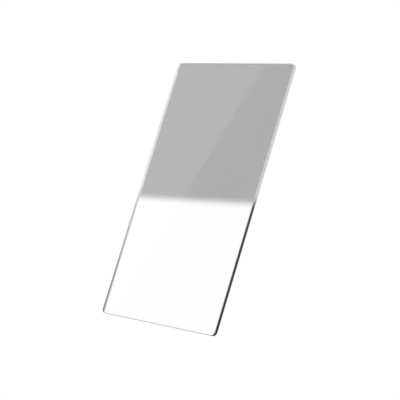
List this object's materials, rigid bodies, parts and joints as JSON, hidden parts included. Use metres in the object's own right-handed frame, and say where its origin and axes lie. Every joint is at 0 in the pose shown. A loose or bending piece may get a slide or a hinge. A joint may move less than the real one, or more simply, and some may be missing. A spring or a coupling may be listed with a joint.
{
  "type": "graduated neutral density filter",
  "caption": "Rectangular glass plate filter for a slot-in holder, with rounded corners, ground edges and a neutral grey coating that fades out near the middle.",
  "frame": {"origin": "centre of the underside, the coated face, which is also the centre of the outline", "axes": "+Z out of the front face, +Y along the plate towards its grey end, +X across its width"},
  "size_m": [0.1, 0.15, 0.002],
  "materials": {
    "graduated_glass": "polished faces, fine-ground edges, grey coating over one half"
  },
  "bodies": {
    "root": {"filter_plate": "graduated_glass"}
  },
  "joints": []
}
